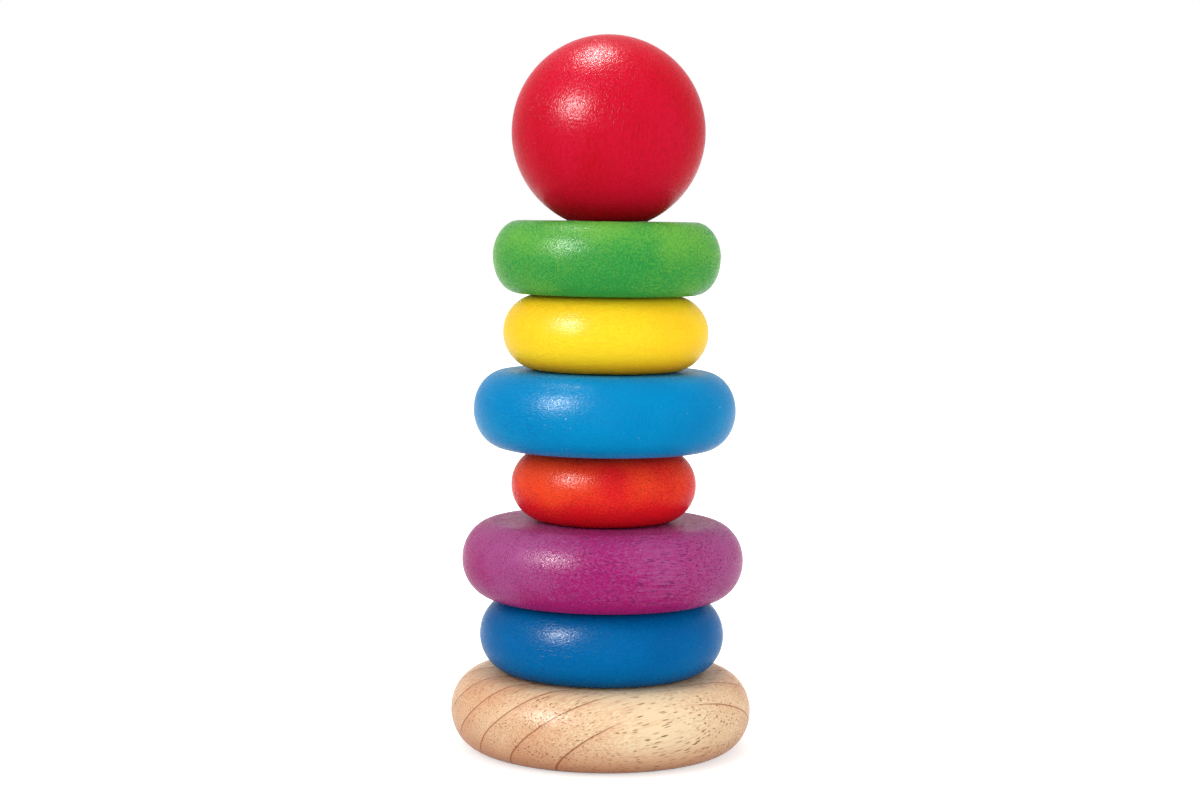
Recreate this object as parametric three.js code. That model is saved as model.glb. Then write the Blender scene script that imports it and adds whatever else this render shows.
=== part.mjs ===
// Stacking ring tower: a turned wooden base with a post glued into it, six loose
// rings that drop over the post, and a ball that caps the end of the post.
// Millimetres, +Z up. The origin is on the table, at the centre of the base.

import * as THREE from "three";

// Base
const baseDiameter = 106;
const baseHeight = 27;
const baseEdge = 11.7; // how far the rounded side runs in from the widest point
const socketFloor = 9; // wood left under the post
const socketChamfer = 0.8;

// Post
const postDiameter = 19;
const postReach = 30; // how far the post stands into the ball
const postDome = 7; // height of the rounded end
const postChamfer = 1;

// Ball
const ballDiameter = 67.6;
const ballLand = 1.4; // width of the flat around its bore, on which the ball rests

// Mouth of every bore
const boreLip = 1.6; // radius of the rolled edge

// Play between the pieces
const boreClearance = 1.5; // between the post and a bore, on each side
const endClearance = 3; // between the end of the post and the end of the ball's bore
const glueGap = 0.1; // between the post and its socket, on each side and below
const restGap = 0.1; // between two faces that rest on each other

// Deep blue ring, the lowest. Every edge is measured as on the base.
const deepBlueDiameter = 86.2;
const deepBlueHeight = 26.3;
const deepBlueEdge = 11.6;

// Purple ring
const purpleDiameter = 99.2;
const purpleHeight = 27;
const purpleEdge = 11.8;

// Scarlet ring
const scarletDiameter = 65.2;
const scarletHeight = 25.4;
const scarletEdge = 11.9;

// Sky blue ring
const skyBlueDiameter = 92.2;
const skyBlueHeight = 27.4;
const skyBlueEdge = 11.4;

// Yellow ring
const yellowDiameter = 72.2;
const yellowHeight = 26.6;
const yellowEdge = 13;

// Green ring, the highest
const greenDiameter = 79.8;
const greenHeight = 25.5;
const greenEdge = 9.2;

// Natural and stained wood, all with the same satin lacquer
const baseColour = 0xe5c19d;
const postColour = 0xe3c29b;
const deepBlueColour = 0x0667a6;
const purpleColour = 0xa94781;
const scarletColour = 0xdc3a2b;
const skyBlueColour = 0x1093cc;
const yellowColour = 0xf5d22e;
const greenColour = 0x5fab4b;
const ballColour = 0xd91f34;
const lacquerRoughness = 0.42;

// Facets
const aroundSteps = 48;
const sideSteps = 10;
const ballSteps = 14;
const lipSteps = 2;
const domeSteps = 4;

const postRadius = postDiameter / 2;
const boreRadius = postRadius + boreClearance;
const mouthRadius = boreRadius + boreLip;
const socketRadius = postRadius + glueGap;
const quarterTurn = Math.PI / 2;

// The rings in the order in which they are stacked
const rings = [
  ring("deep_blue_ring", deepBlueDiameter, deepBlueHeight, deepBlueEdge, deepBlueColour),
  ring("purple_ring", purpleDiameter, purpleHeight, purpleEdge, purpleColour),
  ring("scarlet_ring", scarletDiameter, scarletHeight, scarletEdge, scarletColour),
  ring("sky_blue_ring", skyBlueDiameter, skyBlueHeight, skyBlueEdge, skyBlueColour),
  ring("yellow_ring", yellowDiameter, yellowHeight, yellowEdge, yellowColour),
  ring("green_ring", greenDiameter, greenHeight, greenEdge, greenColour),
];

function ring(name, diameter, height, edge, colour) {
  return { name, diameter, height, edge, colour };
}

// Points along an elliptical arc of a profile, counterclockwise, in radius and height.
function arc(centre, semiAxes, from, to, steps) {
  const curve = new THREE.EllipseCurve(centre[0], centre[1], semiAxes[0], semiAxes[1], from, to);
  return curve.getPoints(steps);
}

// A straight run of a profile through the given corners.
function corners(...points) {
  return points.map(([radius, height]) => new THREE.Vector2(radius, height));
}

// The side of a disc of the given size: half an ellipse from its lower flat to its upper one.
function roundedSide({ diameter, height, edge }) {
  const flatRadius = diameter / 2 - edge;
  return arc([flatRadius, height / 2], [edge, height / 2], -quarterTurn, quarterTurn, sideSteps);
}

// A quarter round that rolls a face into a bore, starting at the given angle.
function boreMouth(height, from) {
  return arc([mouthRadius, height], [boreLip, boreLip], from, from + quarterTurn, lipSteps);
}

// The solid that a profile sweeps about +Z.
function turned(profile) {
  return new THREE.LatheGeometry(profile, aroundSteps).rotateX(quarterTurn);
}

function baseGeometry() {
  return turned([
    ...corners([0, 0]),
    ...roundedSide({ diameter: baseDiameter, height: baseHeight, edge: baseEdge }),
    ...corners(
      [socketRadius + socketChamfer, baseHeight],
      [socketRadius, baseHeight - socketChamfer],
      [socketRadius, socketFloor],
      [0, socketFloor],
    ),
  ]);
}

function postGeometry(length) {
  return turned([
    ...corners([0, 0], [postRadius - postChamfer, 0], [postRadius, postChamfer]),
    ...arc([0, length - postDome], [postRadius, postDome], 0, quarterTurn, domeSteps),
  ]);
}

function ringGeometry(size) {
  const profile = [
    ...roundedSide(size),
    ...boreMouth(size.height - boreLip, quarterTurn),
    ...boreMouth(boreLip, 2 * quarterTurn),
  ];
  return turned([...profile, profile[0]]);
}

function ballGeometry() {
  const radius = ballDiameter / 2;
  const flatRadius = mouthRadius + ballLand;
  const centreHeight = Math.sqrt(radius ** 2 - flatRadius ** 2);
  const flatAngle = -Math.acos(flatRadius / radius);
  const boreDepth = postReach + endClearance;
  return turned([
    ...corners([0, boreDepth], [boreRadius, boreDepth]),
    ...boreMouth(boreLip, 2 * quarterTurn),
    ...arc([0, centreHeight], [radius, radius], flatAngle, quarterTurn, ballSteps),
  ]);
}

// A named piece standing at the given height.
function piece(name, geometry, colour, height) {
  const material = new THREE.MeshStandardMaterial({
    color: colour,
    roughness: lacquerRoughness,
    metalness: 0,
  });
  const mesh = new THREE.Mesh(geometry, material);
  mesh.name = name;
  mesh.position.z = height;
  return mesh;
}

const tower = new THREE.Group();
tower.add(piece("base", baseGeometry(), baseColour, 0));

let seat = baseHeight + restGap;
for (const each of rings) {
  tower.add(piece(each.name, ringGeometry(each), each.colour, seat));
  seat += each.height + restGap;
}
tower.add(piece("top_ball", ballGeometry(), ballColour, seat));

const postFoot = socketFloor + glueGap;
tower.add(piece("post", postGeometry(seat + postReach - postFoot), postColour, postFoot));

export default tower;
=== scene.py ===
"""Looks of a wooden stacking ring tower: turned blanks, stains, satin lacquer and a plain studio."""

import logging
import math
from collections.abc import Mapping, Sequence
from dataclasses import dataclass, field
from enum import Enum
from functools import reduce

import bmesh
import bpy
import numpy as np
from mathutils import Matrix, Vector


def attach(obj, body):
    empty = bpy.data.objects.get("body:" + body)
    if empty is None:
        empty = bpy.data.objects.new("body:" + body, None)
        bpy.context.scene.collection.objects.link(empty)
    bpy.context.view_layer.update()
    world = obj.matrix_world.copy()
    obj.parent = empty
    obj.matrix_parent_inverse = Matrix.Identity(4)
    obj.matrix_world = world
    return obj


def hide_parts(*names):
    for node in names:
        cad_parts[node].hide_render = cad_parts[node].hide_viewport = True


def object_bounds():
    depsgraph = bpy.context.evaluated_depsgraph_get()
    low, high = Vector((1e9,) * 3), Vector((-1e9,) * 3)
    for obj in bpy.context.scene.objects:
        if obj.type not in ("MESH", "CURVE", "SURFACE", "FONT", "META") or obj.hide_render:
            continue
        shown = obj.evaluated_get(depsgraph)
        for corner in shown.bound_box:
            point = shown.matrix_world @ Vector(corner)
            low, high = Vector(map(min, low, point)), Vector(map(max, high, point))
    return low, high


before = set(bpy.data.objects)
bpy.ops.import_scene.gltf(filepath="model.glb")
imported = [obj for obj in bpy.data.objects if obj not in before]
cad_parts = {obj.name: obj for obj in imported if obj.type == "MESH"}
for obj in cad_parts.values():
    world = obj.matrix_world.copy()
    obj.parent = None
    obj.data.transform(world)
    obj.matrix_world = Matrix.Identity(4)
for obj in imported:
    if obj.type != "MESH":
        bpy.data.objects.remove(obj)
CAD_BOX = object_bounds()

MM = 0.001
NEAR = 0.02 * MM  # two places closer than this are the same place
SIDES_ROUND = 160  # facets around every turned piece
SIDE_STEPS = 28  # facets over a rounded side or the post's dome
BALL_STEPS = 84  # facets over the ball, from its top to its flat
LIP_STEPS = 6  # facets over a bore's rolled mouth
CRISP = math.radians(40)  # edges that turn by more than this are not smoothed
MIDDLE = 0.5  # the middle of a pattern that runs from 0 to 1

Colour = tuple[float, float, float, float]

log = logging.getLogger("ring_tower")


def linear(code: str) -> Colour:
    """Turns a display colour into a linear one.

    Args:
        code: the colour as six hexadecimal digits.

    Returns:
        Linear red, green and blue, and an alpha of 1.
    """
    parts = [int(code[i : i + 2], 16) / 255 for i in (0, 2, 4)]
    red, green, blue = (c / 12.92 if c <= 0.04045 else ((c + 0.055) / 1.055) ** 2.4 for c in parts)
    return red, green, blue, 1.0


class Wire:
    """An output socket of a node tree. Arithmetic on it adds Math nodes."""

    def __init__(self, board: "Board", socket: bpy.types.NodeSocket) -> None:
        """Keeps the socket and the board that it is on."""
        self.board = board
        self.socket = socket

    def other(self, output: str) -> "Wire":
        """Gives another output of the same node."""
        return Wire(self.board, self.socket.node.outputs[output])

    def _math(self, operation: str, first: "Wire | float", second: "Wire | float" = 0.0) -> "Wire":
        """Adds one Math node, which has a right operand only where its operation needs one."""
        return self.board.node("ShaderNodeMath", {"operation": operation}, {0: first, 1: second})

    def __add__(self, term: "Wire | float") -> "Wire":
        """Adds a term."""
        return self._math("ADD", self, term)

    def __radd__(self, term: float) -> "Wire":
        """Adds this to a number."""
        return self._math("ADD", term, self)

    def __sub__(self, term: "Wire | float") -> "Wire":
        """Takes a term away."""
        return self._math("SUBTRACT", self, term)

    def __rsub__(self, term: float) -> "Wire":
        """Takes this away from a number."""
        return self._math("SUBTRACT", term, self)

    def __mul__(self, factor: "Wire | float") -> "Wire":
        """Multiplies by a factor."""
        return self._math("MULTIPLY", self, factor)

    def __rmul__(self, factor: float) -> "Wire":
        """Multiplies a number by this."""
        return self._math("MULTIPLY", factor, self)

    def __truediv__(self, divisor: "Wire | float") -> "Wire":
        """Divides by a divisor."""
        return self._math("DIVIDE", self, divisor)

    def __rtruediv__(self, number: float) -> "Wire":
        """Divides a number by this."""
        return self._math("DIVIDE", number, self)

    def fraction(self) -> "Wire":
        """Gives the part after the decimal point."""
        return self._math("FRACT", self)

    def most(self, rival: "Wire | float") -> "Wire":
        """Gives the larger of two values."""
        return self._math("MAXIMUM", self, rival)

    def ramp(self, low: float, high: float) -> "Wire":
        """Rises smoothly from 0 to 1 between two values.

        Args:
            low: the value that gives 0.
            high: the value that gives 1. It may be the lower one.

        Returns:
            The ramp.
        """
        settings = {"interpolation_type": "SMOOTHSTEP"}
        inputs = {"Value": self, "From Min": low, "From Max": high}
        return self.board.node("ShaderNodeMapRange", settings, inputs)


class Ray(Enum):
    """The kinds of ray that see the background itself. The others only carry its light."""

    CAMERA = "Is Camera Ray"
    MIRRORED = "Is Glossy Ray"
    THROUGH = "Is Transmission Ray"


class Board:
    """The node tree of one material or world."""

    # The places of a Mix node's colour sockets
    FACTOR, FIRST, SECOND, RESULT = 0, 6, 7, 2

    def __init__(self, tree: bpy.types.NodeTree) -> None:
        """Clears the tree."""
        self.tree = tree
        tree.nodes.clear()

    def node(
        self,
        kind: str,
        settings: Mapping[str, object] | None = None,
        inputs: Mapping[int | str, Wire | float | Sequence[float]] | None = None,
        output: int | str = 0,
    ) -> Wire:
        """Adds a node.

        Args:
            kind: Blender's name of the node's type.
            settings: the node's own options, which are set first.
            inputs: a value or a wire for each named or numbered socket.
            output: the socket to return.

        Returns:
            A wire from that output.
        """
        made = self.tree.nodes.new(kind)
        for name, value in (settings or {}).items():
            setattr(made, name, value)
        for name, value in (inputs or {}).items():
            if isinstance(value, Wire):
                self.tree.links.new(value.socket, made.inputs[name])
            else:
                made.inputs[name].default_value = value
        return Wire(self, made.outputs[output])

    def blend(self, factor: Wire | float, first: Wire | Colour, second: Wire | Colour) -> Wire:
        """Mixes two colours, where a factor of 0 gives the first and 1 the second."""
        inputs = {self.FACTOR: factor, self.FIRST: first, self.SECOND: second}
        return self.node("ShaderNodeMix", {"data_type": "RGBA"}, inputs, self.RESULT)

    def seen(self) -> Wire:
        """Gives 1 to a ray that sees the background itself and 0 to any other."""
        path = self.node("ShaderNodeLightPath")
        return reduce(Wire.most, [path.other(ray.value) for ray in Ray])

    def surface(self, shader: Wire, kind: str = "ShaderNodeOutputMaterial") -> None:
        """Sends a shader to the tree's output."""
        self.tree.links.new(shader.socket, self.tree.nodes.new(kind).inputs["Surface"])


class Turning:
    """Sizes of a turned solid about +Z, read from the frame, in metres."""

    def __init__(self, node: str) -> None:
        """Reads the solid.

        Args:
            node: its node in the frame.
        """
        self.places = np.array([corner.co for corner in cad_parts[node].data.vertices])
        self.radii = np.hypot(self.places[:, 0], self.places[:, 1])
        self.foot = float(self.places[:, 2].min())
        self.head = float(self.places[:, 2].max())
        self.girth = float(self.radii.max())

    @property
    def height(self) -> float:
        """From foot to head."""
        return self.head - self.foot

    @property
    def waist(self) -> float:
        """Half-way up."""
        return (self.head + self.foot) / 2

    @property
    def bore(self) -> float:
        """Radius of the bore's wall: the least radius that is found at two levels."""
        radii = np.sort(self.radii[self.radii > NEAR])
        return float(next(radius for radius in radii if np.ptp(self._levels(radius)) > NEAR))

    @property
    def bore_top(self) -> float:
        """The highest place on the bore's wall."""
        return float(self._levels(self.bore).max())

    @property
    def bore_end(self) -> float:
        """Where a blind bore ends: the one place on the axis between foot and head."""
        levels = self.places[self.radii < NEAR, 2]
        return float(levels[(levels > self.foot + NEAR) & (levels < self.head - NEAR)][0])

    @property
    def shoulder(self) -> float:
        """The highest place at full girth."""
        return float(self.places[self.radii > self.girth - NEAR, 2].max())

    def _levels(self, radius: float) -> np.ndarray:
        """Gives the heights of all the places at a radius."""
        return self.places[np.abs(self.radii - radius) < NEAR, 2]

    def face(self, level: float) -> tuple[float, float]:
        """Gives the inner and the outer radius of the flat face at a height."""
        there = self.radii[np.abs(self.places[:, 2] - level) < NEAR]
        return float(there.min()), float(there.max())


@dataclass(frozen=True)
class Timber:
    """How a piece's blank lay in the tree.

    Attributes:
        turn: turns about X, Y and Z, in degrees, that bring +Z onto the fibres.
        shift: how far along the fibres the patterns are read, in millimetres, so that no two
            pieces are alike.
    """

    turn: tuple[float, float, float]
    shift: float


@dataclass(frozen=True)
class GrowthLines:
    """The yearly lines of natural wood. Lengths are in millimetres, across the fibres.

    Attributes:
        pith: the heart of the tree, from the middle of the piece. Far away, the lines are almost straight.
        spacing: from one line to the next.
        first: the distance of the innermost line from the heart.
        on_sides: how strongly the lines show where the fibres run along the surface, from 0 to 1.
    """

    pith: tuple[float, float]
    spacing: float
    first: float = 0.0
    on_sides: float = 0.0


@dataclass(frozen=True)
class Clouds:
    """A cloudy pattern in the wood. Lengths are in millimetres.

    Attributes:
        across: the size of a cloud across the fibres.
        along: its length along the fibres.
        low: the raw value that becomes 0.
        high: the raw value that becomes 1.
        detail: how many finer clouds are added.
    """

    across: float
    along: float
    low: float
    high: float
    detail: float = 2.0


@dataclass(frozen=True)
class Dashes:
    """Slender dashes along the fibres, which are dots on end grain. Lengths are in millimetres.

    Attributes:
        across: the distance between two dashes across the fibres.
        along: their distance along the fibres.
        radius: the radius of a dash across the fibres.
        where: the clouds in which they lie. With none they lie everywhere.
    """

    across: float
    along: float
    radius: float
    where: Clouds | None = None


class Grain:
    """Solid wood, which the surface of a piece cuts through. Lengths are in millimetres."""

    TOOTH = (0.55, 0.9)  # size of the wood's fine relief across and along the fibres
    BEND = (25.0, 90.0)  # size of the bends in the growth lines across and along the fibres
    FIRST_YEAR = (-0.8, -0.2)  # years from the innermost line between which lines begin to count
    DASH_EDGE = 0.3  # share of a dash's radius over which it fades, to both sides of its edge

    def __init__(self, board: Board, timber: Timber, turning: Turning) -> None:
        """Lays the wood's own frame into a material.

        Args:
            board: the material's nodes.
            timber: how the blank lay in the tree.
            turning: the sizes of the piece.
        """
        self.board = board
        self.timber = timber
        self.turning = turning
        self.tower = board.node("ShaderNodeTexCoord", output="Object")
        self.centred = self._vector("SUBTRACT", self.tower, (0, 0, turning.waist))
        self.blank = self._turned(self._vector("MULTIPLY", self.centred, (1 / MM, 1 / MM, 1 / MM)))
        self.place = self._vector("ADD", self.blank, (0, 0, timber.shift))
        self.tooth = self._noise(*self.TOOTH)

    def _vector(self, operation: str, first: Wire, second: Sequence[float] = (0, 0, 0)) -> Wire:
        """Adds one Vector Math node.

        Args:
            operation: Blender's name of the operation.
            first: the left operand.
            second: the right operand, where the operation has one.

        Returns:
            The resulting vector or value.
        """
        settings = {"operation": operation}
        output = "Value" if operation in ("LENGTH", "DISTANCE") else "Vector"
        return self.board.node("ShaderNodeVectorMath", settings, {0: first, 1: second}, output)

    def _turned(self, vector: Wire) -> Wire:
        """Turns a vector into the wood's own frame, in which the fibres run along Z.

        Args:
            vector: the vector in the tower's frame.

        Returns:
            The turned vector.
        """
        turn = [math.radians(angle) for angle in self.timber.turn]
        inputs = {"Vector": vector, "Rotation": turn}
        return self.board.node("ShaderNodeMapping", {"vector_type": "TEXTURE"}, inputs)

    def end_grain(self) -> Wire:
        """Finds where the fibres come out of the surface. On a slim piece that is only at its ends.

        Returns:
            1 where the fibres come straight out and 0 where they run along the surface.
        """
        slimness = min(1.0, 2 * self.turning.girth / self.turning.height)
        outwards = self._vector("MULTIPLY", self.centred, (1, 1, slimness**2))
        straight = self._vector("ABSOLUTE", self._vector("NORMALIZE", self._turned(outwards)))
        return self.board.node("ShaderNodeSeparateXYZ", {}, {0: straight}, "Z")

    def _level(self) -> Wire:
        """Gives the height above the floor, in metres."""
        return self.board.node("ShaderNodeSeparateXYZ", {}, {0: self.tower}, "Z")

    def near_bore(self, reach: float) -> Wire:
        """Finds the bore and what lies around its mouths.

        Args:
            reach: how far from the bore's wall the surroundings end.

        Returns:
            1 in the bore, falling to 0 at the reach beside it and at twice the reach above it.
        """
        bore = self.turning.bore
        top = self.turning.bore_top
        across = self._vector("LENGTH", self._vector("MULTIPLY", self.tower, (1, 1, 0)))
        below = self._level().ramp(top + 2 * reach * MM, top + reach * MM)
        return across.ramp(bore + reach * MM, bore) * below

    def near_foot(self, reach: float) -> Wire:
        """Gives 1 at the foot of the piece, falling to 0 at a reach above it."""
        return self._level().ramp(self.turning.foot + reach * MM, self.turning.foot)

    def _stretched(self, across: float, along: float) -> Wire:
        """Gives the place in cells of the given size across and along the fibres."""
        scale = (1 / across, 1 / across, 1 / along)
        return self.board.node("ShaderNodeMapping", {}, {"Vector": self.place, "Scale": scale})

    def _noise(self, across: float, along: float, detail: float = 2.0) -> Wire:
        """Gives raw clouds of the given size across and along the fibres, mostly between 0 and 1."""
        inputs = {"Vector": self._stretched(across, along), "Scale": 1.0, "Detail": detail}
        return self.board.node("ShaderNodeTexNoise", {}, inputs)

    def clouds(self, kind: Clouds) -> Wire:
        """Gives a cloudy pattern from 0 to 1."""
        return self._noise(kind.across, kind.along, kind.detail).ramp(kind.low, kind.high)

    def dashes(self, kind: Dashes) -> Wire:
        """Scatters dashes, one in each cell of their spacing.

        Args:
            kind: their sizes and where they lie.

        Returns:
            1 inside a dash and 0 outside it.
        """
        inputs = {"Vector": self._stretched(kind.across, kind.along), "Scale": 1.0}
        distance = self.board.node("ShaderNodeTexVoronoi", {}, inputs, output="Distance")
        radius = kind.radius / kind.across
        dash = distance.ramp((1 + self.DASH_EDGE) * radius, (1 - self.DASH_EDGE) * radius)
        return dash * self.clouds(kind.where) if kind.where else dash

    def years(self, lines: GrowthLines, wander: float) -> tuple[Wire, Wire]:
        """Gives how far a place is through its year's growth.

        Args:
            lines: where the growth lines are.
            wander: how far they stray from true circles.

        Returns:
            0 just outside a growth line, rising to 1 at the next, and 1 where there are lines at all.
        """
        flat = self._vector("MULTIPLY", self.blank, (1, 1, 0))
        radius = self._vector("DISTANCE", flat, (*lines.pith, 0))
        stray = (self._noise(*self.BEND) - MIDDLE) * wander
        age = (radius - lines.first + stray) / lines.spacing
        return age.fraction(), age.ramp(*self.FIRST_YEAR)


@dataclass(frozen=True)
class Lacquer:
    """The clear satin coat over every piece.

    Attributes:
        roughness: of the coat where it is even.
        unevenness: how much that roughness varies.
        gloss: how much light the coat mirrors, where 0.5 is a full gloss.
        relief: how high the wood's texture stands, in millimetres.
    """

    roughness: float = 0.27
    unevenness: float = 0.6
    gloss: float = 0.025
    relief: float = 0.16


SATIN = Lacquer()
SMOOTH_SATIN = Lacquer(roughness=0.24, gloss=0.022, relief=0.15)


@dataclass(frozen=True, kw_only=True)
class Finish:
    """The finish of one piece: wood under lacquer.

    Attributes:
        slot: the record's material slot.
        timber: how the blank lay in the tree.
        lacquer: the clear coat.
    """

    slot: str
    timber: Timber
    lacquer: Lacquer = SATIN

    def pores(self, grain: Grain) -> Wire:
        """Gives 1 in a pore and 0 outside."""
        raise NotImplementedError

    def colour(self, grain: Grain, pores: Wire) -> Wire:
        """Gives the colour of the wood and of its pores."""
        raise NotImplementedError

    def material(self, turning: Turning) -> bpy.types.Material:
        """Makes the material.

        Args:
            turning: the sizes of the piece.

        Returns:
            The material.
        """
        made = bpy.data.materials.new(self.slot)
        made.use_nodes = True
        board = Board(made.node_tree)
        grain = Grain(board, self.timber, turning)
        pores = self.pores(grain)
        coat = self.lacquer
        relief = {"Distance": coat.relief * MM, "Height": grain.tooth - pores}
        looks = {
            "Base Color": self.colour(grain, pores),
            "Roughness": coat.roughness + (grain.tooth - MIDDLE + pores) * coat.unevenness,
            "Specular IOR Level": coat.gloss,
            "Normal": board.node("ShaderNodeBump", {}, relief),
        }
        board.surface(board.node("ShaderNodeBsdfPrincipled", {}, looks))
        return made


@dataclass(frozen=True)
class Stain:
    """A wood stain. Colours are six hexadecimal digits.

    Attributes:
        deep: where the wood drinks most, and towards the foot as painted shade.
        pale: where it drinks least.
        pore: in the pores.
        mottling: how much the two tones differ from place to place, from 0 to 1.
        speckle: how much they differ from grain to grain, from 0 to 1.
        porosity: how strongly the pores show, from 0 to 1.
        specks: how strongly pale specks of bare wood show, from 0 to 1.
        shaded_foot: how far above the foot the stain is painted deeper as shade, in millimetres.
    """

    deep: str
    pale: str
    pore: str
    mottling: float
    speckle: float
    porosity: float
    specks: float
    shaded_foot: float = 7.0


@dataclass(frozen=True, kw_only=True)
class StainedWood(Finish):
    """Wood under a coloured stain and lacquer, rubbed paler in the bore and painted deeper towards the foot
    as shade.

    Attributes:
        stain: the colour.
    """

    stain: Stain

    BARE = "ead6b6"
    FINE_PORES = Dashes(across=0.6, along=5, radius=0.15, where=Clouds(7, 30, low=0.28, high=0.48))
    COARSE_PORES = Dashes(across=2.6, along=14, radius=0.24)
    SPECKS = Dashes(across=3.5, along=3.5, radius=0.2, where=Clouds(9, 9, low=0.5, high=0.62))
    PATCHES = Clouds(across=22, along=44, low=0.3, high=0.7, detail=1)
    FIBRES = Clouds(across=0.6, along=26, low=0.3, high=0.75)
    # Tones run from 0 for deep to 1 for pale. The last four are how far each pattern moves them.
    MEAN_TONE = 0.6
    PATCH_TONE = 1.2
    FIBRE_TONE = 0.8
    SPECKLE_TONE = 3.0
    # Painted shade: how far the tone deepens at the foot.
    SHADE_TONE = 0.7
    RUB_REACH = 2.4  # how far around the bore the stain is rubbed, in millimetres
    RUB_RELIEF = (0.35, 0.7)  # the relief at which rubbing starts and is full
    RUB_SHARE = 0.4  # how much bare wood shows there

    def pores(self, grain: Grain) -> Wire:
        """Gives 1 in a pore and 0 outside."""
        fine = grain.dashes(self.FINE_PORES)
        return fine.most(grain.dashes(self.COARSE_PORES)) * self.stain.porosity

    def colour(self, grain: Grain, pores: Wire) -> Wire:
        """Gives the colour of the wood.

        Args:
            grain: the piece's wood.
            pores: 1 in a pore and 0 outside.

        Returns:
            The colour.
        """
        stain = self.stain
        blend = grain.board.blend
        patches = grain.clouds(self.PATCHES) - MIDDLE
        fibres = grain.clouds(self.FIBRES) - MIDDLE
        mottled = (patches * self.PATCH_TONE + fibres * self.FIBRE_TONE) * stain.mottling
        speckled = (grain.tooth - MIDDLE) * (self.SPECKLE_TONE * stain.speckle)
        # Painted shade: the stain turns deeper towards the foot, where the piece rests on the one below.
        painted_shade = grain.near_foot(stain.shaded_foot) * self.SHADE_TONE
        tone = self.MEAN_TONE + mottled + speckled - painted_shade
        stained = blend(tone, linear(stain.deep), linear(stain.pale))
        porous = blend(pores, stained, linear(stain.pore))
        flecked = blend(grain.dashes(self.SPECKS) * stain.specks, porous, linear(self.BARE))
        rubbed = grain.near_bore(self.RUB_REACH) * grain.tooth.ramp(*self.RUB_RELIEF)
        return blend(rubbed * self.RUB_SHARE, flecked, linear(self.BARE))


@dataclass(frozen=True, kw_only=True)
class NaturalWood(Finish):
    """Bare wood under lacquer, with painted shade that makes it warmer and darker at its foot.

    Attributes:
        lines: where the growth lines are.
    """

    lines: GrowthLines

    CREAM = "ebd2ab"
    PINK = "d29b76"
    PAINTED_SHADE_AMBER = "c08260"
    LINE = "905030"
    PORE = "844722"
    FINE_PORES = Dashes(across=0.8, along=7, radius=0.19, where=Clouds(4, 25, low=0.3, high=0.5))
    COARSE_PORES = Dashes(across=1.5, along=8, radius=0.25, where=Clouds(9, 45, low=0.45, high=0.56))
    FINE_SHARE = 0.7  # how strong a fine pore is beside a coarse one
    PORE_SHARE = 0.85  # how strong a coarse pore is
    PATCHES = Clouds(across=16, along=60, low=0.3, high=0.7, detail=3)
    FIBRES = Clouds(across=0.5, along=25, low=0.3, high=0.75)
    # Warmth runs from 0 for cream to 1 for pink. Each pattern moves it this far.
    SEASON_WARMTH = 0.25
    END_WARMTH = 0.75
    PATCH_WARMTH = 0.3
    FIBRE_WARMTH = 0.6
    TOOTH_WARMTH = 0.8
    PAINTED_SHADE_REACH = 13  # how far above the foot the painted shade reaches, in millimetres
    PAINTED_SHADE_SHARE = 0.85  # how strongly the painted shade turns it amber there
    WANDER = 2  # how far the growth lines stray, in millimetres
    LINED_ENDS = (0.15, 0.5)  # the end grain at which growth lines begin to show and are full
    LINE_RISE = (0.93, 0.985)  # the shares of a year's growth at which its line starts and is full
    LINE_FALL = (1.0, 0.99)  # the shares at which the line has gone and is still full
    LINE_SHARE = 0.85  # how strong a line is

    def pores(self, grain: Grain) -> Wire:
        """Gives 1 in a pore and 0 outside."""
        fine = grain.dashes(self.FINE_PORES) * self.FINE_SHARE
        return fine.most(grain.dashes(self.COARSE_PORES))

    def colour(self, grain: Grain, pores: Wire) -> Wire:
        """Gives the colour of the wood.

        Args:
            grain: the piece's wood.
            pores: 1 in a pore and 0 outside.

        Returns:
            The colour.
        """
        blend = grain.board.blend
        years, lined = grain.years(self.lines, self.WANDER)
        end_grain = grain.end_grain()
        on_sides = self.lines.on_sides
        shown = lined * (on_sides + end_grain.ramp(*self.LINED_ENDS) * (1 - on_sides))
        season = shown * years * years * self.SEASON_WARMTH + end_grain * self.END_WARMTH
        patches = (grain.clouds(self.PATCHES) - MIDDLE) * self.PATCH_WARMTH
        fibres = (grain.clouds(self.FIBRES) - MIDDLE) * self.FIBRE_WARMTH
        warmth = season + patches + fibres + (grain.tooth - MIDDLE) * self.TOOTH_WARMTH
        clear = blend(warmth, linear(self.CREAM), linear(self.PINK))
        # Painted shade: the wood turns warmer and darker amber towards the foot.
        wood = blend(grain.near_foot(self.PAINTED_SHADE_REACH) * self.PAINTED_SHADE_SHARE, clear, linear(self.PAINTED_SHADE_AMBER))
        line = years.ramp(*self.LINE_RISE) * years.ramp(*self.LINE_FALL) * shown
        grown = blend(line * self.LINE_SHARE, wood, linear(self.LINE))
        return blend(pores * self.PORE_SHARE, grown, linear(self.PORE))


def deselect() -> None:
    """Deselects every object, so that the next operator acts on the new piece alone."""
    bpy.ops.object.select_all(action="DESELECT")


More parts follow.
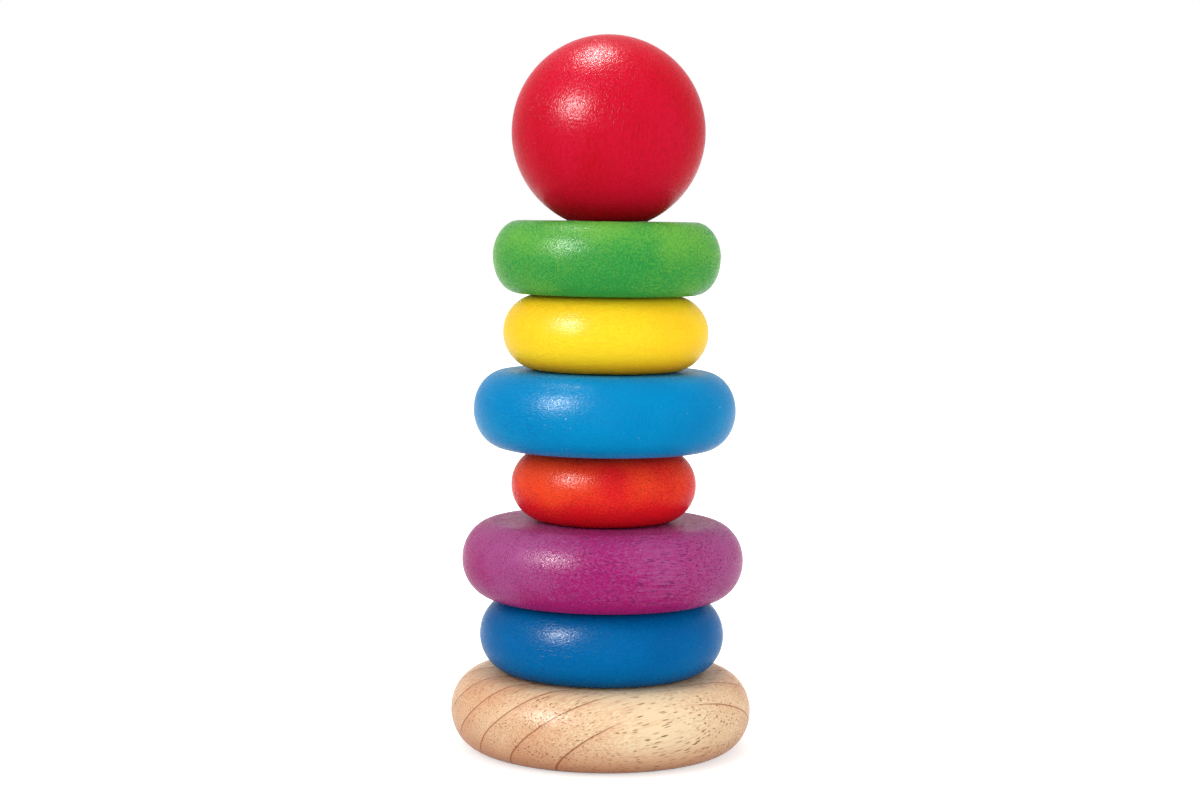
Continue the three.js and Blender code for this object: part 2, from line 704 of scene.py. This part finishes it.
class Lathe:
    """A profile drawn by one moving point in the XZ plane, then spun about the tower's axis."""

    def __init__(self, name: str, radius: float, height: float) -> None:
        """Puts the point down.

        Args:
            name: the piece's name.
            radius: where the profile starts, from the axis.
            height: where it starts, above the floor.
        """
        deselect()
        bpy.ops.mesh.primitive_plane_add(size=MM)
        self.piece = bpy.context.object
        self.piece.name = name
        self.piece.data.name = name
        bpy.ops.object.mode_set(mode="EDIT")
        bpy.ops.mesh.select_mode(type="VERT")
        bpy.ops.mesh.select_all(action="SELECT")
        bpy.ops.mesh.merge(type="CENTER")
        self.start = Vector((radius, 0, height))
        self.tip = self.start.copy()
        bpy.ops.transform.translate(value=self.tip)

    def _hold(self, place: Vector) -> None:
        """Selects one point of the profile and no other.

        Args:
            place: where the point is.
        """
        bpy.ops.mesh.select_all(action="DESELECT")
        mesh = bmesh.from_edit_mesh(self.piece.data)
        min(mesh.verts, key=lambda point: (point.co - place).length).select_set(True)
        mesh.select_flush_mode()
        bmesh.update_edit_mesh(self.piece.data)

    def line_to(self, radius: float, height: float) -> None:
        """Draws a straight line.

        Args:
            radius: where it ends, from the axis.
            height: where it ends, above the floor.
        """
        goal = Vector((radius, 0, height))
        bpy.ops.mesh.extrude_region_move(TRANSFORM_OT_translate={"value": goal - self.tip})
        self.tip = goal

    def arc(self, radius: float, height: float, degrees: float, steps: int) -> None:
        """Draws an arc. The spin operator turns the other way than a rotation matrix does.

        Args:
            radius: the arc's centre, from the axis.
            height: the arc's centre, above the floor.
            degrees: its angle, counterclockwise in the XZ plane.
            steps: how many straight pieces it has.
        """
        centre = Vector((radius, 0, height))
        angle = math.radians(degrees)
        bpy.ops.mesh.spin(steps=steps, angle=-angle, center=centre, axis=(0, -1, 0))
        self.tip = centre + Matrix.Rotation(angle, 3, (0, -1, 0)) @ (self.tip - centre)

    def stretch(self, factor: float, level: float) -> None:
        """Stretches what has been drawn upwards and downwards from a level.

        Args:
            factor: how much taller it gets.
            level: the height that stays in place.
        """
        bpy.ops.mesh.select_all(action="SELECT")
        bpy.ops.transform.resize(value=(1, 1, factor), center_override=(0, 0, level))
        for end in (self.start, self.tip):
            end.z = level + (end.z - level) * factor
        self._hold(self.tip)

    def from_start(self) -> None:
        """Goes on drawing from the other end of the profile."""
        self.start, self.tip = self.tip, self.start
        self._hold(self.tip)

    def spin(self) -> bpy.types.Object:
        """Spins the profile into a solid.

        Returns:
            The finished object, at the origin, with smooth shading.
        """
        bpy.ops.mesh.select_all(action="SELECT")
        bpy.ops.mesh.spin(steps=SIDES_ROUND, angle=math.tau, center=(0, 0, 0), axis=(0, 0, 1))
        bpy.ops.mesh.select_all(action="SELECT")
        bpy.ops.mesh.remove_doubles(threshold=NEAR)
        bpy.ops.mesh.normals_make_consistent(inside=False)
        bpy.ops.object.mode_set(mode="OBJECT")
        bpy.ops.object.shade_smooth_by_angle(angle=CRISP)
        return self.piece


@dataclass
class Piece:
    """One turned piece of the tower.

    Attributes:
        node: the solid that it stands for.
        body: the body that it rides on.
        finish: what it is made of.
        turning: the sizes of the solid.
    """

    node: str
    body: str
    finish: Finish
    turning: Turning = field(init=False)

    def __post_init__(self) -> None:
        """Reads the sizes of the solid."""
        self.turning = Turning(self.node)

    @property
    def name(self) -> str:
        """The name of its object."""
        return f"{self.node}_turned"

    def shape(self) -> bpy.types.Object:
        """Models the piece."""
        raise NotImplementedError

    def _rounded_disc(self) -> Lathe:
        """Draws the side of a disc: half an ellipse from its lower flat to its upper one.

        Returns:
            The lathe, with its point on the upper flat.
        """
        turning = self.turning
        flat = turning.face(turning.head)[1]
        edge = turning.girth - flat
        lathe = Lathe(self.name, flat, turning.waist - edge)
        lathe.arc(flat, turning.waist, 180, SIDE_STEPS)
        lathe.stretch(turning.height / (2 * edge), turning.waist)
        return lathe

    def make(self) -> bpy.types.Object:
        """Models, dresses and seats the piece.

        Returns:
            Its object.
        """
        made = self.shape()
        made.data.materials.append(self.finish.material(self.turning))
        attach(made, self.body)
        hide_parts(self.node)
        return made


@dataclass
class Ring(Piece):
    """A loose ring with a bull-nosed side and a bore whose mouths are rolled."""

    def shape(self) -> bpy.types.Object:
        """Models the ring.

        Returns:
            Its object.
        """
        turning = self.turning
        mouth, flat = turning.face(turning.head)
        lip = mouth - turning.bore
        lathe = self._rounded_disc()
        lathe.line_to(mouth, turning.head)
        lathe.arc(mouth, turning.head - lip, 90, LIP_STEPS)
        lathe.line_to(turning.bore, turning.foot + lip)
        lathe.arc(mouth, turning.foot + lip, 90, LIP_STEPS)
        lathe.line_to(flat, turning.foot)
        return lathe.spin()


@dataclass
class Base(Piece):
    """The round base, with a blind socket for the post."""

    def shape(self) -> bpy.types.Object:
        """Models the base.

        Returns:
            Its object.
        """
        turning = self.turning
        mouth = turning.face(turning.head)[0]
        chamfer = mouth - turning.bore
        lathe = self._rounded_disc()
        lathe.line_to(mouth, turning.head)
        lathe.line_to(turning.bore, turning.head - chamfer)
        lathe.line_to(turning.bore, turning.bore_end)
        lathe.line_to(0, turning.bore_end)
        lathe.from_start()
        lathe.line_to(0, turning.foot)
        return lathe.spin()


@dataclass
class Post(Piece):
    """The dowel that guides the rings, with a chamfered foot and a domed end."""

    def shape(self) -> bpy.types.Object:
        """Models the post.

        Returns:
            Its object.
        """
        turning = self.turning
        foot_radius = turning.face(turning.foot)[1]
        dome = turning.head - turning.shoulder
        lathe = Lathe(self.name, turning.girth, turning.shoulder)
        lathe.arc(0, turning.shoulder, 90, SIDE_STEPS)
        lathe.stretch(dome / turning.girth, turning.shoulder)
        lathe.from_start()
        lathe.line_to(turning.girth, turning.foot + turning.girth - foot_radius)
        lathe.line_to(foot_radius, turning.foot)
        lathe.line_to(0, turning.foot)
        return lathe.spin()


@dataclass
class Ball(Piece):
    """The ball that caps the post, cut flat below and bored from there."""

    def shape(self) -> bpy.types.Object:
        """Models the ball.

        Returns:
            Its object.
        """
        turning = self.turning
        mouth, flat = turning.face(turning.foot)
        lip = mouth - turning.bore
        radius = (turning.height**2 + flat**2) / (2 * turning.height)
        sweep = 180 - math.degrees(math.asin(flat / radius))
        lathe = Lathe(self.name, 0, turning.head)
        lathe.arc(0, turning.head - radius, -sweep, BALL_STEPS)
        lathe.line_to(mouth, turning.foot)
        lathe.arc(mouth, turning.foot + lip, -90, LIP_STEPS)
        lathe.line_to(turning.bore, turning.bore_end)
        lathe.line_to(0, turning.bore_end)
        return lathe.spin()


class Tower:
    """The whole toy: the stand, its rings and its ball, from the ground up."""

    def __init__(self) -> None:
        """Chooses the wood and the finish of every piece."""
        base_wood = NaturalWood(
            slot="natural_wood",
            timber=Timber(turn=(100, 0, -65), shift=3),
            lines=GrowthLines(pith=(1392.6, -1435.4), spacing=10.9, first=1972.3),
        )
        post_wood = NaturalWood(
            slot="post_wood",
            timber=Timber(turn=(0, 0, 20), shift=47),
            lines=GrowthLines(pith=(40, 25), spacing=7, on_sides=0.6),
        )
        ball_wood = StainedWood(
            slot="crimson_stain",
            timber=Timber(turn=(4, 3, 0), shift=389),
            stain=Stain("ba0c1c", "cc1332", "8c0f1d", mottling=0.5, speckle=0.4, porosity=0.3, specks=0.1),
            lacquer=SMOOTH_SATIN,
        )
        self.pieces: list[Piece] = [
            Base("base", "stand", base_wood),
            Post("post", "stand", post_wood),
            self._ring(
                "deep_blue",
                Timber(turn=(90, 0, 70), shift=91),
                Stain("005593", "0068a7", "04426f", mottling=0.4, speckle=0.4, porosity=0.3, specks=0.1),
            ),
            self._ring(
                "purple",
                Timber(turn=(86, 80, -70), shift=452),
                Stain("9c1a66", "a04c83", "5c1c49", mottling=0.75, speckle=0.6, porosity=0.75, specks=0.2),
            ),
            self._ring(
                "scarlet",
                Timber(turn=(80, 20, -5), shift=308),
                Stain(
                    "d81722",
                    "ec4622",
                    "7c1710",
                    mottling=0.85,
                    speckle=0.3,
                    porosity=0.55,
                    specks=0,
                    shaded_foot=11,
                ),
            ),
            self._ring(
                "sky_blue",
                Timber(turn=(90, 0, 40), shift=233),
                Stain("0078b3", "0289c1", "0a6aa6", mottling=0.4, speckle=0.4, porosity=0.3, specks=0.8),
            ),
            self._ring(
                "yellow",
                Timber(turn=(90, 0, 80), shift=277),
                Stain("ffae18", "ffe42c", "c98a1a", mottling=0.2, speckle=0.15, porosity=0.15, specks=0),
            ),
            self._ring(
                "green",
                Timber(turn=(90, 20, -10), shift=1490),
                Stain(
                    "2a9040",
                    "66ab42",
                    "22672c",
                    mottling=0.75,
                    speckle=0.45,
                    porosity=0.5,
                    specks=0.2,
                    shaded_foot=3,
                ),
            ),
            Ball("top_ball", "ball", ball_wood),
        ]

    @staticmethod
    def _ring(colour: str, timber: Timber, stain: Stain) -> Ring:
        """Describes a ring, whose colour gives its node, its body and its slot their names."""
        wood = StainedWood(slot=f"{colour}_stain", timber=timber, stain=stain)
        return Ring(f"{colour}_ring", colour, wood)


@dataclass(frozen=True)
class Viewpoint:
    """The camera. Lengths are in metres and angles in degrees.

    Attributes:
        place: the lens, from the foot of the tower.
        dip: how far it looks down.
        roll: how far it leans to the left.
        focal_pixels: the focal length in pixels of the picture.
        picture_width: the picture's width in pixels.
    """

    place: tuple[float, float, float] = (-0.0017, -0.8073, 0.1887)
    dip: float = 4.648
    roll: float = 0.8
    focal_pixels: float = 2302.8
    picture_width: int = 1200

    def make(self) -> None:
        """Makes the camera and gives it to the scene."""
        data = bpy.data.cameras.new("viewpoint")
        data.sensor_fit = "HORIZONTAL"
        data.lens = data.sensor_width * self.focal_pixels / self.picture_width
        camera = bpy.data.objects.new("viewpoint", data)
        bpy.context.collection.objects.link(camera)
        look = Matrix.Rotation(math.radians(90 - self.dip), 4, "X")
        lean = Matrix.Rotation(math.radians(self.roll), 4, "Z")
        camera.matrix_world = Matrix.Translation(self.place) @ look @ lean
        bpy.context.scene.camera = camera


class Role(Enum):
    """What a lamp does: it lights the wood or shows as a highlight on the lacquer."""

    LIGHT = "light"
    GLINT = "glint"


@dataclass(frozen=True)
class Softbox:
    """A soft studio lamp that faces the tower and is hidden from the camera. Lengths are in metres.

    Attributes:
        name: what it is called.
        role: what it does.
        place: its centre.
        width: its width.
        height: its height.
        brightness: of its face, where 1 is white.
    """

    name: str
    role: Role
    place: tuple[float, float, float]
    width: float
    height: float
    brightness: float

    def make(self, target: Vector) -> None:
        """Makes the lamp.

        Args:
            target: the place that it faces.
        """
        data = bpy.data.lights.new(self.name, "AREA")
        data.shape = "RECTANGLE"
        data.size = self.width
        data.size_y = self.height
        data.energy = math.pi * self.width * self.height * self.brightness
        lamp = bpy.data.objects.new(self.name, data)
        bpy.context.collection.objects.link(lamp)
        lamp.location = self.place
        lamp.rotation_euler = (target - Vector(self.place)).to_track_quat("-Z", "Y").to_euler()
        lamp.visible_camera = False
        lamp.visible_diffuse = self.role is Role.LIGHT
        lamp.visible_glossy = self.role is Role.GLINT


@dataclass(frozen=True)
class Studio:
    """The white studio: a floor, white surroundings, soft lamps and the camera. Lengths are in metres.

    Attributes:
        floor_radius: from its middle, where the tower stands, to its edge.
        floor_sides: how many straight sides its edge has.
        floor_tone: how much light the floor sends back.
        near_glow: what is seen of it beyond that, at the foot of the tower.
        far_glow: the same, away from the tower.
        glow_reach: the distances from the tower at which the far glow starts and is full.
        room: brightness of the surroundings, which lights the tower evenly.
        lamps: the lamps.
    """

    floor_radius: float = 9.0
    floor_sides: int = 96
    floor_tone: float = 0.7
    near_glow: float = 0.55
    far_glow: float = 1.0
    glow_reach: tuple[float, float] = (0.1, 0.5)
    room: float = 0.76
    lamps: tuple[Softbox, ...] = (
        Softbox("overhead_glint", Role.GLINT, (-0.16, 0.15, 1.06), width=0.28, height=0.17, brightness=390),
        Softbox("left_glint", Role.GLINT, (-0.62, -0.61, 0.64), width=0.16, height=0.26, brightness=1050),
        Softbox("overhead_fill", Role.LIGHT, (-0.1, 0.1, 1.2), width=0.8, height=0.8, brightness=2.6),
        Softbox("left_fill", Role.LIGHT, (-0.9, -0.8, 0.7), width=0.9, height=0.9, brightness=2.3),
        Softbox("right_fill", Role.LIGHT, (1.0, -0.45, 0.16), width=0.8, height=0.9, brightness=1.7),
        Softbox("front_fill", Role.LIGHT, (0.1, -1.5, 0.3), width=1.2, height=0.8, brightness=1.5),
    )

    def make(self) -> None:
        """Makes the studio."""
        self._lay_floor()
        self._surround()
        middle = (CAD_BOX[0] + CAD_BOX[1]) / 2
        for lamp in self.lamps:
            lamp.make(middle)
        Viewpoint().make()
        bpy.context.scene.view_settings.view_transform = "Standard"

    def _lay_floor(self) -> None:
        """Lays a pale floor, which looks white away from the tower and keeps the tower's shadow."""
        deselect()
        bpy.ops.mesh.primitive_circle_add(
            vertices=self.floor_sides,
            radius=self.floor_radius,
            fill_type="NGON",
        )
        floor = bpy.context.object
        floor.name = "floor"
        made = bpy.data.materials.new("pale_floor")
        made.use_nodes = True
        board = Board(made.node_tree)
        grey = (self.floor_tone, self.floor_tone, self.floor_tone, 1)
        matt = board.node("ShaderNodeBsdfDiffuse", {}, {"Color": grey})
        place = board.node("ShaderNodeTexCoord", output="Object")
        away = board.node("ShaderNodeVectorMath", {"operation": "LENGTH"}, {0: place}, output="Value")
        glow = self.near_glow + away.ramp(*self.glow_reach) * (self.far_glow - self.near_glow)
        white = board.node("ShaderNodeEmission", {}, {"Strength": board.seen() * glow})
        board.surface(board.node("ShaderNodeAddShader", {}, {0: matt, 1: white}))
        floor.data.materials.append(made)

    def _surround(self) -> None:
        """Sets surroundings that look white and light the tower evenly."""
        world = bpy.data.worlds.new("studio")
        world.use_nodes = True
        bpy.context.scene.world = world
        board = Board(world.node_tree)
        strength = self.room + board.seen() * (1 - self.room)
        shader = board.node("ShaderNodeBackground", {}, {"Color": (1, 1, 1, 1), "Strength": strength})
        board.surface(shader, "ShaderNodeOutputWorld")


def main() -> None:
    """Builds the tower and its studio, and reports each piece."""
    logging.basicConfig(level=logging.INFO, format="%(message)s")
    for piece in Tower().pieces:
        made = piece.make()
        log.info("%s: %d faces, riding on %s", made.name, len(made.data.polygons), piece.body)
    Studio().make()


if __name__ == "__main__":
    main()
